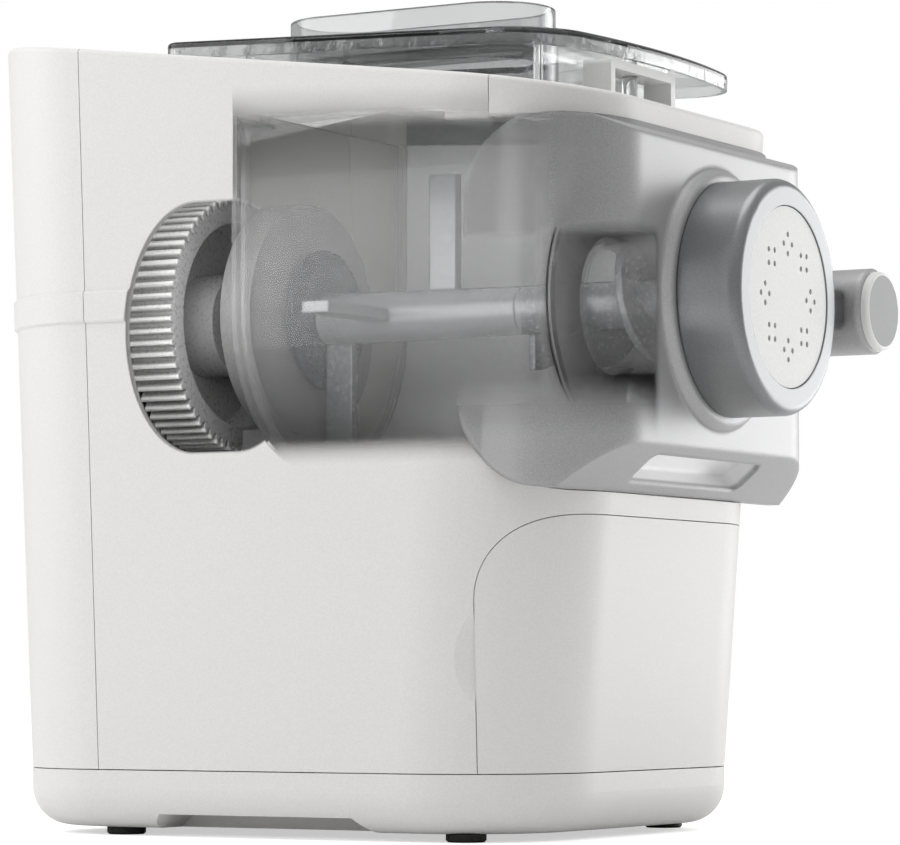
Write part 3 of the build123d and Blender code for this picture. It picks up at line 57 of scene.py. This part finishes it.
def add_node(tree, kind, inputs=(), **settings):
    """New shader node with its settings, values and links."""
    node = tree.nodes.new("ShaderNode" + kind)
    for name, value in settings.items():
        setattr(node, name, value)
    feed(node, inputs)
    return node


def mottled(name, dark, light, grain_mm, gloss, relief=0.05, soft_mm=0.0, **values):
    """Moulded or painted surface: two close tones and a roughness that follow a
    noise whose lumps are grain_mm wide, with a shallow relief on the same noise.
    Edges catch the light as if rounded to soft_mm. values are sockets of the
    shader, with underscores for spaces."""
    material = bpy.data.materials.new(name)
    material.use_nodes = True
    tree = material.node_tree
    shader = tree.nodes["Principled BSDF"]
    feed(shader, {socket.replace("_", " "): value for socket, value in values.items()})
    place = add_node(tree, "TexCoord").outputs["Object"]
    grain = add_node(tree, "TexNoise",
                     {"Vector": place, "Scale": 1000.0 / grain_mm, "Detail": 2.0})
    patches = add_node(tree, "MapRange", (grain, *tone_span), **smooth)
    tone = add_node(tree, "Mix", {"Factor": patches, "A": colour(dark),
                                  "B": colour(light)}, data_type="RGBA")
    roughness = add_node(tree, "MapRange", (grain, *gloss_span, *gloss), **smooth)
    bumps = add_node(tree, "Bump", {"Height": grain, "Strength": relief,
                                    "Distance": grain_depth})
    if soft_mm:
        edges = add_node(tree, "Bevel", {"Radius": soft_mm / 1000.0}, samples=6)
        feed(bumps, {"Normal": edges})
    feed(shader, {"Base Color": tone.outputs["Result"], "Roughness": roughness,
                  "Normal": bumps})
    return material


def dress(material, *names):
    """Gives CAD nodes their material."""
    for name in names:
        skin = cad_nodes[name].data.materials
        skin.clear()
        skin.append(material)


white_abs = mottled("white_moulded_abs", "E4E3E1", "E9E8E6", 0.7, (0.40, 0.47),
                    Specular_IOR_Level=0.4)
dress(white_abs, "base_tray")

# ------------------------------------------------------------------ feet
# Four round feet pushed into the tray, cast in a matt black rubber.
black_rubber = mottled("black_cast_rubber", "101010", "1A1A1A", 1.1, (0.55, 0.75))
dress(black_rubber, "rubber_feet")

# --------------------------------------------------------- side casing
# Wrap-round white ABS wall with the belt round it. Its near side is shown cut
# away with soft edges over the large gear and over the mixing chamber.
gear_front, gear_rear, gear_height = 0.0273, 0.0467, 0.1923
gear_reach, gear_squash = 0.0315, 0.658
gear_edge = (gear_reach - 0.0006, gear_reach + 0.0004)
trough_y, trough_z = -0.0081, 0.192
trough_reach, trough_squash = 0.0377, 0.685
trough_edge = (trough_reach - 0.0004, trough_reach + 0.0004)
trough_floor = (0.138, 0.149)
rim_slope = 0.055
rim_edge = (0.264, 0.282)
near_side = (-0.08, -0.07)
falling = (1.0, 0.0)                # for a change that goes from one to nought


def axes_of(tree):
    """X, Y and Z of the place on the piece, in the machine's own frame."""
    place = add_node(tree, "TexCoord").outputs["Object"]
    return add_node(tree, "SeparateXYZ", (place,)).outputs


def distance(tree, across, up):
    """Length of a step across and a step up: the root of their summed squares."""
    squares = [add_node(tree, "Math", (step, step), operation="MULTIPLY")
               for step in (across, up)]
    total = add_node(tree, "Math", squares, operation="ADD")
    return add_node(tree, "Math", (total,), operation="SQRT")


def gear_opening(tree, y, z):
    """Nought over the gear. The opening is a capsule, the distance from a level
    segment with the height squashed."""
    nearest = add_node(tree, "Math", (y, gear_front), operation="MAXIMUM")
    nearest = add_node(tree, "Math", (nearest, gear_rear), operation="MINIMUM")
    along = add_node(tree, "Math", (y, nearest), operation="SUBTRACT")
    up = add_node(tree, "Math", (z, gear_height), operation="SUBTRACT")
    up = add_node(tree, "Math", (up, gear_squash), operation="MULTIPLY")
    return add_node(tree, "MapRange", (distance(tree, along, up), *gear_edge), **smooth)


def chamber_opening(tree, y, z):
    """Nought over the chamber. The opening ends in a quarter ellipse at its lower
    rear corner, and fades out along its floor and its sloping rim."""
    back = add_node(tree, "Math", (y, trough_y), operation="SUBTRACT")
    back = add_node(tree, "Math", (back, 0.0), operation="MAXIMUM")
    down = add_node(tree, "Math", (trough_z, z), operation="SUBTRACT")
    down = add_node(tree, "Math", (down, 0.0), operation="MAXIMUM")
    down = add_node(tree, "Math", (down, trough_squash), operation="MULTIPLY")
    corner = add_node(tree, "MapRange", (distance(tree, back, down), *trough_edge), **smooth)
    ground = add_node(tree, "MapRange", (z, *trough_floor, *falling), **smooth)
    slope = add_node(tree, "Math", (y, rim_slope), operation="MULTIPLY")
    rim = add_node(tree, "Math", (z, slope), operation="SUBTRACT")
    top = add_node(tree, "MapRange", (rim, *rim_edge), **smooth)
    low_edge = add_node(tree, "Math", (corner, ground), operation="MAXIMUM")
    return add_node(tree, "Math", (low_edge, top), operation="MAXIMUM")


def side_opacity(tree):
    """Opacity of the casing: both openings on its near side, whole elsewhere."""
    x, y, z = axes_of(tree)
    openings = (gear_opening(tree, y, z), chamber_opening(tree, y, z))
    near = add_node(tree, "Math", openings, operation="MINIMUM")
    elsewhere = add_node(tree, "MapRange", (x, *near_side), **smooth)
    return add_node(tree, "Math", (near, elsewhere), operation="MAXIMUM")


def cut_away(material, opacity):
    """Copy of a material whose opacity is a function of the place on the piece."""
    ghost = material.copy()
    ghost.name = material.name + "_cut_away"
    tree = ghost.node_tree
    feed(tree.nodes["Principled BSDF"], {"Alpha": opacity(tree)})
    return ghost


dress(cut_away(white_abs, side_opacity), "side_casing")

# ------------------------------------------------------------ rear cover
# White cover that closes the back, with its vents. It is held by steel screws
# and carries the black appliance inlet.
bare_steel = mottled("drawn_steel", "8D8E90", "A4A5A7", 0.9, (0.25, 0.4), Metallic=1.0)
black_nylon = mottled("black_moulded_nylon", "1E1F21", "2A2B2D", 1.1, (0.3, 0.45))
dress(white_abs, "rear_cover")
dress(bare_steel, "casing_screws")
dress(black_nylon, "power_inlet")

# --------------------------------------------------------------- top deck
# White deck round the lid, with the catch that the lid's peg passes and the
# safety switch under it. The catch is painted whiter than the deck: painted
# light for the light that reaches it through the clear lid.
# Painted light: the catch is a whiter copy of the deck's white.
catch_white_painted_light = mottled("white_moulded_catch_painted_light", "F6F6F5", "F9F9F8", 0.9, (0.35, 0.45))
dress(white_abs, "top_deck")
dress(catch_white_painted_light, "lid_catch")
dress(black_nylon, "lid_switch")

# ---------------------------------------------------------- control panel
# Lacquered strip behind the lid with a smoked lens, five light grey keys and
# their circuit board. The lacquer holds metal flake, so it is grey and silky.
silver_lacquer = mottled("silver_lacquered_abs", "A6A6A7", "B4B4B5", 0.5, (0.38, 0.46),
                         relief=0.04, soft_mm=3.0, Metallic=0.5, Specular_IOR_Level=0.5)
smoked_lens = mottled("smoked_acrylic", "141517", "1B1C1E", 2.0, (0.08, 0.12))
grey_keys = mottled("grey_moulded_abs", "BFC0C2", "CBCCCE", 0.9, (0.35, 0.45))
green_laminate = mottled("green_board_laminate", "0F4A28", "1A5C34", 1.5, (0.4, 0.5))
dress(silver_lacquer, "control_panel")
dress(smoked_lens, "display_lens")
dress(grey_keys, "power_button", "program_button", "weight_button", "timer_button",
      "start_button")
dress(green_laminate, "circuit_board")

# ------------------------------------------------ front frame and well
# White frame behind the front panel and the grey liner round the chamber.
# Both are cut away on the near side, the frame below its white band.
frame_middle = (-0.002, 0.0)
frame_band = (0.264, 0.266)
liner_middle = (-0.001, 0.0)


def frame_opacity(tree):
    """Far half of the frame, and its band above the front panel."""
    x, _, z = axes_of(tree)
    far = add_node(tree, "MapRange", (x, *frame_middle), **smooth)
    band = add_node(tree, "MapRange", (z, *frame_band), **smooth)
    return add_node(tree, "Math", (far, band), operation="MAXIMUM")


def liner_opacity(tree):
    """Far half of the liner."""
    return add_node(tree, "MapRange", (axes_of(tree)["X"], *liner_middle), **smooth)


liner_grey = mottled("grey_moulded_liner", "B2B2B2", "BABABA", 1.2, (0.4, 0.5))
dress(cut_away(white_abs, frame_opacity), "front_frame")
dress(cut_away(liner_grey, liner_opacity), "well_liner")

# -------------------------------------------------------------- drive unit
# Motor in its pressed steel case behind a steel gear plate, with bronze
# bushes, a laminated rotor and a nylon fan.
sintered_bronze = mottled("sintered_bronze", "8A6A3A", "A07E48", 0.6, (0.35, 0.5),
                          Metallic=1.0)
housing_grey = mottled("grey_bearing_housing", "6B6B6B", "747474", 1.2, (0.35, 0.45))
dress(bare_steel, "gear_plate", "motor_mount", "idler_pin", "motor_case", "drive_shaft",
      "motor_rotor", "motor_pinion")
dress(sintered_bronze, "front_bush", "rear_bush")
dress(black_nylon, "motor_magnets", "cooling_fan")
dress(housing_grey, "bearing_housing")

# ------------------------------------------------------------------- gears
# Large drive gear and its idler, moulded in grey acetal. The tips of the large
# gear's teeth are painted pale: a painted highlight where they catch the light.
seal_low, seal_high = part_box("shaft_seal")
axle_height = (seal_low[2] + seal_high[2]) / 2
tooth_tips = (0.0498, 0.0512)


def round_distance(tree, middle_x, middle_z):
    """Distance from a line that runs along the machine through a point of x, z."""
    x, _, z = axes_of(tree)
    across = add_node(tree, "Math", (x, middle_x), operation="SUBTRACT")
    up = add_node(tree, "Math", (z, middle_z), operation="SUBTRACT")
    return distance(tree, across, up)


def recolour(material, code, where):
    """Turns a material's colour to another as the mask where goes to one."""
    tree = material.node_tree
    shader = tree.nodes["Principled BSDF"]
    present = shader.inputs["Base Color"].links[0].from_socket
    tone = add_node(tree, "Mix", {"Factor": where, "A": present, "B": colour(code)},
                    data_type="RGBA")
    feed(shader, {"Base Color": tone.outputs["Result"]})


grey_acetal = mottled("grey_acetal", "A2A2A2", "A7A7A7", 1.4, (0.26, 0.34),
                      relief=0.01, soft_mm=0.6, Specular_IOR_Level=0.8)
dress(grey_acetal, "idler_gear")
acetal_with_painted_highlights = grey_acetal.copy()
acetal_with_painted_highlights.name = "grey_acetal_with_painted_tooth_highlights"
tree = acetal_with_painted_highlights.node_tree
tips = add_node(tree, "MapRange", (round_distance(tree, 0.0, axle_height), *tooth_tips),
                **smooth)
# Painted highlight: the tips of the large gear's teeth are painted pale.
recolour(acetal_with_painted_highlights, "F0F0EF", tips)
dress(acetal_with_painted_highlights, "drive_gear")

# ------------------------------------------------------------------- mixer
# Shaft with four paddles and the auger, moulded in glossy grey nylon, and the
# black lip seal where the shaft enters the chamber.
mixer_nylon = mottled("grey_mixer_nylon", "58595B", "626365", 1.6, (0.20, 0.28),
                      relief=0.02, soft_mm=1.5, Specular_IOR_Level=0.7)
lip_seal = mottled("black_lip_seal", "2A2C31", "363A40", 0.8, (0.12, 0.2))
dress(mixer_nylon, "mixing_paddles", "auger")
dress(lip_seal, "shaft_seal")

# ------------------------------------------- mixing chamber and auger tube
# Clear injection-moulded walls. They are nearly invisible face on and grow
# denser where a wall is seen edge on, as thin polycarbonate does, and are
# painted darker there: painted shade for their dark edges. They are clearer
# still close round the axle.
edge_on_painted_shade = (0.55, 1.0)
thin, dense = 0.07, 0.80
axle_edge = (0.013, 0.018)
axle_clearness = 0.25

clear_wall = mottled("clear_polycarbonate_wall", "8E8E8E", "959595", 8.0, (0.04, 0.08),
                     relief=0.0, Specular_IOR_Level=0.6)
tree = clear_wall.node_tree
slant = add_node(tree, "LayerWeight", {"Blend": 0.35}).outputs["Facing"]
# Painted shade: the walls are painted darker where they are seen edge on.
recolour(clear_wall, "4A4B4C", add_node(tree, "MapRange", (slant, *edge_on_painted_shade), **smooth))
density = add_node(tree, "MapRange", (slant, 0.0, 1.0, thin, dense), **smooth)
off_axle = add_node(tree, "MapRange", (round_distance(tree, 0.0, axle_height), *axle_edge,
                                       axle_clearness, 1.0), **smooth)
wall_opacity = add_node(tree, "Math", (density, off_axle), operation="MULTIPLY")
feed(tree.nodes["Principled BSDF"], {"Alpha": wall_opacity})
dress(clear_wall, "mixing_chamber", "extrusion_tube")
dress(black_rubber, "tube_gasket")

# ------------------------------------------------------------- front panel
# Silver cover in metal-flake lacquer, with the chin grip and the boss round
# the ring. It is shown cut away over the auger on the near side, and the grip
# recess is painted pale inside: painted light for the light that falls on its
# upturned floor.
turn_x, turn_y = 0.498, 0.867       # normal of upright planes turned 30 degrees
band_bottom = (0.146, 0.170)
band_top = (0.219, 0.228)
band_end = (0.0800, 0.0832)
veil_end = (0.030, 0.076)
veil_clearness = 0.68
panel_side = (-0.03, -0.02)
chin_y, chin_z = -0.114, 0.1375     # middle of the chin's slanting face
chin_back, chin_up = 0.648, 0.762   # that face's normal
recess_depth = (0.001, 0.003)
recess_half_width = (0.0076, 0.0082)
recess_half_length = (0.0462, 0.047)


def panel_opacity(tree):
    """Opacity of the near side: a clear band at the auger's height that ends in
    front of the boss, and a veil above it that thins out towards the corner."""
    x, y, z = axes_of(tree)
    sideways = add_node(tree, "Math", (x, turn_x), operation="MULTIPLY")
    forwards = add_node(tree, "Math", (y, turn_y), operation="MULTIPLY")
    across = add_node(tree, "Math", (sideways, forwards), operation="SUBTRACT")
    above = add_node(tree, "MapRange", (z, *band_bottom), **smooth)
    below = add_node(tree, "MapRange", (z, *band_top, *falling), **smooth)
    level = add_node(tree, "Math", (above, below), operation="MULTIPLY")
    before_boss = add_node(tree, "MapRange", (across, *band_end, *falling), **smooth)
    band = add_node(tree, "Math", (level, before_boss), operation="MULTIPLY")
    thinning = add_node(tree, "MapRange", (across, *veil_end, veil_clearness, 0.0), **smooth)
    veil = add_node(tree, "Math", (above, thinning), operation="MULTIPLY")
    clear = add_node(tree, "Math", (band, veil), operation="MAXIMUM")
    near = add_node(tree, "Math", (1.0, clear), operation="SUBTRACT")
    elsewhere = add_node(tree, "MapRange", (x, *panel_side), **smooth)
    return add_node(tree, "Math", (near, elsewhere), operation="MAXIMUM")


def grip_painted_light_mask(tree):
    """One inside the chin's grip recess, where light is painted: behind the chin's
    slanting face, within half the recess's width along the slant, and within half
    its length across."""
    x, y, z = axes_of(tree)
    back = add_node(tree, "Math", (y, chin_y), operation="SUBTRACT")
    up = add_node(tree, "Math", (z, chin_z), operation="SUBTRACT")
    back_in, back_along = [add_node(tree, "Math", (back, part), operation="MULTIPLY")
                           for part in (chin_back, chin_up)]
    up_in, up_along = [add_node(tree, "Math", (up, part), operation="MULTIPLY")
                       for part in (chin_up, chin_back)]
    behind = add_node(tree, "Math", (back_in, up_in), operation="ADD")
    along = add_node(tree, "Math", (up_along, back_along), operation="SUBTRACT")
    mask = add_node(tree, "MapRange", (behind, *recess_depth), **smooth)
    for offset, limit in ((along, recess_half_width), (x, recess_half_length)):
        size = add_node(tree, "Math", (offset,), operation="ABSOLUTE")
        within = add_node(tree, "MapRange", (size, *limit, *falling), **smooth)
        mask = add_node(tree, "Math", (mask, within), operation="MULTIPLY")
    return mask


panel_silver = cut_away(silver_lacquer, panel_opacity)
# Painted light: the inside of the grip recess is painted pale.
recolour(panel_silver, "F4F4F4", grip_painted_light_mask(panel_silver.node_tree))
dress(panel_silver, "front_panel")

# ----------------------------------------------------- ring, disc and knob
# Bayonet ring in a lacquer with more metal in it, painted darker than the panel:
# painted shade for the dark reflections round its side. The lock knob is in the
# panel's own lacquer under a grey cap with a pale edge. The disc is a pale
# moulding with its holes, and the bolt is steel.
cap_low, cap_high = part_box("knob_cap")
knob_x = (cap_low[0] + cap_high[0]) / 2
cap_edge = (0.0138, 0.0141)

disc_grey = mottled("pale_acetal_disc", "D6D6D5", "DEDEDD", 1.4, (0.35, 0.45))
# Painted shade: the ring's lacquer is darker than the panel's.
ring_lacquer_painted_shade = mottled("silver_lacquered_ring_painted_shade", "848586", "8E8F90", 0.5, (0.32, 0.38),
                       relief=0.012, soft_mm=0.8, Metallic=0.85, Specular_IOR_Level=0.5)
knob_grey = mottled("grey_knob_cap", "7E7E7F", "878788", 0.8, (0.4, 0.5))
tree = knob_grey.node_tree
edge = add_node(tree, "MapRange", (round_distance(tree, knob_x, axle_height), *cap_edge),
                **smooth)
recolour(knob_grey, "E9E9E8", edge)
dress(ring_lacquer_painted_shade, "locking_ring")
dress(silver_lacquer, "lock_knob")
dress(disc_grey, "shaping_disc", "disc_rack", "spare_discs")
dress(knob_grey, "knob_cap")
dress(bare_steel, "lock_bolt")

# --------------------------------------------------------------------- lid
# Clear lid with its pouring chute, moulded in thick SAN. The plastic takes up
# light along its way, so it is greyer where more of it is seen through. The rim
# shows flow lines and has a darker tint, and the chute is denser: both are
# painted shade that greys them more than the plate.
clear_density, chute_painted_shade_density = 26.0, 180.0
flow_mm = 14.2857
flow_depth = 0.0015


def moulded_san(name, tint, density):
    """Clear styrene acrylonitrile: glossy, with the refractive index of SAN."""
    material = bpy.data.materials.new(name)
    material.use_nodes = True
    tree = material.node_tree
    feed(tree.nodes["Principled BSDF"], {"Base Color": colour(tint), "Roughness": 0.02,
                                         "IOR": 1.49, "Transmission Weight": 1.0})
    smoke = add_node(tree, "VolumeAbsorption", {"Color": colour("9A9B9C"),
                                                "Density": density})
    feed(tree.nodes["Material Output"], {"Volume": smoke})
    return material


clear_san = moulded_san("clear_moulded_san", "F2F3F3", clear_density)
# Painted shade: the chute's plastic is denser than the plate's.
chute_san_painted_shade = moulded_san("chute_moulded_san_painted_shade", "F2F3F3", chute_painted_shade_density)
# Painted shade: the rim's tint is darker than the plate's.
rim_san_painted_shade = moulded_san("flow_lined_san_with_painted_shade", "D4D5D5", clear_density)
tree = rim_san_painted_shade.node_tree
place = add_node(tree, "TexCoord").outputs["Object"]
flow = add_node(tree, "TexNoise", {"Vector": place, "Scale": 1000.0 / flow_mm,
                                   "Detail": 3.0})
waves = add_node(tree, "Bump", {"Height": flow, "Strength": 0.5, "Distance": flow_depth})
feed(tree.nodes["Principled BSDF"], {"Normal": waves})
dress(clear_san, "lid_plate", "lid_skirt", "lid_key")
dress(rim_san_painted_shade, "lid_rim")
dress(chute_san_painted_shade, "lid_chute")

# ------------------------------------------------------------------ drawer
# White storage drawer under the panel, on white runners.
dress(white_abs, "drawer_front", "drawer_tray", "drawer_runners")


# ------------------------------------------------------------------ studio
# Pale floor and white surroundings. A large soft lamp stands behind on the left
# and another overhead, and a smaller one near the front right. Two soft panels
# inside the casing light what the cutaway shows.
def soft_lamp(name, energy, size, at, aim, inside=False):
    """Square or oblong soft lamp at one point, turned to another. One inside the
    casing isn't seen itself."""
    light = bpy.data.lights.new(name, "AREA")
    light.shape = "RECTANGLE"
    light.energy = energy
    light.size, light.size_y = size
    lamp = bpy.data.objects.new(name, light)
    bpy.context.scene.collection.objects.link(lamp)
    lamp.location = at
    lamp.rotation_euler = (Vector(aim) - Vector(at)).to_track_quat("-Z", "Y").to_euler()
    if inside:
        lamp.visible_camera = False
        lamp.visible_transmission = False
    return lamp


middle = (-0.05, 0.02, 0.16)
soft_lamp("rear_left", energy=5.3, size=(0.9, 0.9), at=(-0.6, 0.8, 0.62), aim=middle)
soft_lamp("right_wall", energy=2.1, size=(0.45, 0.45), at=(0.68, -0.38, 0.22), aim=middle)
soft_lamp("overhead", energy=5.0, size=(0.9, 0.9), at=(0.1, -0.1, 1.4), aim=middle)
soft_lamp("side_panel", energy=0.165, size=(0.155, 0.090), at=(-0.084, 0.006, 0.212),
          aim=(0.0, 0.006, 0.188), inside=True)
front_glow = soft_lamp("front_glow", energy=0.05, size=(0.05, 0.09),
                       at=(-0.070, -0.098, 0.205), aim=(0.0, -0.08, 0.195), inside=True)
front_glow.visible_glossy = False

floor_reach = 6.0
floor_glow = 0.55
floor = bpy.data.meshes.new("floor")
floor.from_pydata([(-floor_reach, -floor_reach, 0.0), (floor_reach, -floor_reach, 0.0),
                   (floor_reach, floor_reach, 0.0), (-floor_reach, floor_reach, 0.0)],
                  [], [(0, 1, 2, 3)])
floor_piece = bpy.data.objects.new("floor", floor)
bpy.context.scene.collection.objects.link(floor_piece)
floor_paint = bpy.data.materials.new("pale_floor")
floor_paint.use_nodes = True
tree = floor_paint.node_tree
seen = add_node(tree, "LightPath").outputs["Is Camera Ray"]
glow = add_node(tree, "MapRange", (seen, 0.0, 1.0, 0.0, floor_glow), **smooth)
feed(tree.nodes["Principled BSDF"], {"Base Color": colour("F2F2F2"), "Roughness": 0.8,
                                     "Specular IOR Level": 0.0,
                                     "Emission Color": colour("FFFFFF"),
                                     "Emission Strength": glow})
floor.materials.append(floor_paint)

sky_span = (-0.1, 0.9)
low_sky, high_sky = 0.40, 0.70
world = bpy.data.worlds.new("studio")
bpy.context.scene.world = world
world.use_nodes = True
tree = world.node_tree
path = add_node(tree, "LightPath").outputs
seen = add_node(tree, "Math", (path["Is Camera Ray"], path["Is Transmission Ray"]),
                operation="MAXIMUM")
direction = add_node(tree, "TexCoord").outputs["Generated"]
height = add_node(tree, "SeparateXYZ", (direction,)).outputs["Z"]
studio_light = add_node(tree, "MapRange", (height, *sky_span, low_sky, high_sky), **smooth)
strength = add_node(tree, "Math", (studio_light, seen), operation="MAXIMUM")
feed(tree.nodes["Background"], {"Color": colour("FFFFFF"), "Strength": strength})

camera_place = (-1.3604, -0.78723, 0.06284)
camera_aim = (0.86558, 0.49693, 0.06186)
camera = bpy.data.cameras.new("camera")
camera.lens = 160.0
camera.sensor_width = 36.0
camera.clip_end = 50.0
viewer = bpy.data.objects.new("camera", camera)
bpy.context.scene.collection.objects.link(viewer)
viewer.location = camera_place
viewer.rotation_euler = Vector(camera_aim).to_track_quat("-Z", "Y").to_euler()
bpy.context.scene.camera = viewer
bpy.context.scene.view_settings.view_transform = "Standard"
bpy.context.scene.cycles.transparent_max_bounces = 48
